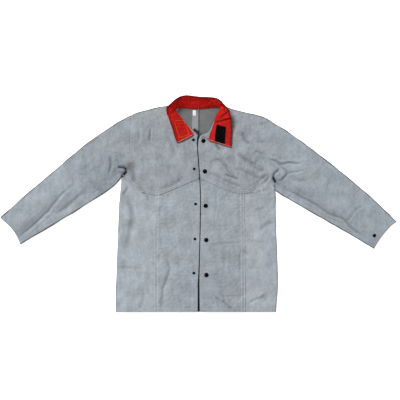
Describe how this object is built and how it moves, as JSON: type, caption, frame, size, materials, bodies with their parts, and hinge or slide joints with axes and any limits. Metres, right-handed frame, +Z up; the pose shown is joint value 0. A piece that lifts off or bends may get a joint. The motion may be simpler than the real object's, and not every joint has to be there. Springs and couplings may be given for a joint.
{
  "type": "welding jacket",
  "caption": "Split-leather welding jacket lying open on its back: red stand collar, snap front, curved front yokes, set-in sleeves with elbow seams, hollow body and sleeves.",
  "frame": {"origin": "middle of the footprint of the jacket as it lies, on the floor", "axes": "+X to the wearer's left, +Y from the hem to the collar, +Z up from the floor, out of the front"},
  "size_m": [1.4846, 0.8106, 0.0658],
  "materials": {
    "grey_split_leather": "napped suede, matt",
    "red_cotton": "tight twill, matt",
    "hook_and_loop": "matt hook tape",
    "black_snaps": "black enamel, semi-gloss",
    "white_tape": "plain woven tape"
  },
  "bodies": {
    "root": {"back_left": "grey_split_leather", "back_right": "grey_split_leather", "back_seam_strip": "grey_split_leather", "cap_1": "black_snaps", "cap_2": "black_snaps", "cap_3": "black_snaps", "cap_4": "black_snaps", "cap_5": "black_snaps", "collar": "red_cotton", "cuff_cap": "black_snaps", "front_left": "grey_split_leather", "front_right": "grey_split_leather", "hook_patch": "hook_and_loop", "loop_patch": "hook_and_loop", "neck_label": "white_tape", "side_left": "grey_split_leather", "side_right": "grey_split_leather", "sleeve_lower_left": "grey_split_leather", "sleeve_lower_right": "grey_split_leather", "sleeve_upper_left": "grey_split_leather", "sleeve_upper_right": "grey_split_leather", "stud_1": "black_snaps", "stud_2": "black_snaps", "stud_3": "black_snaps", "stud_4": "black_snaps", "stud_5": "black_snaps", "yoke_left": "grey_split_leather", "yoke_right": "grey_split_leather"}
  },
  "joints": []
}
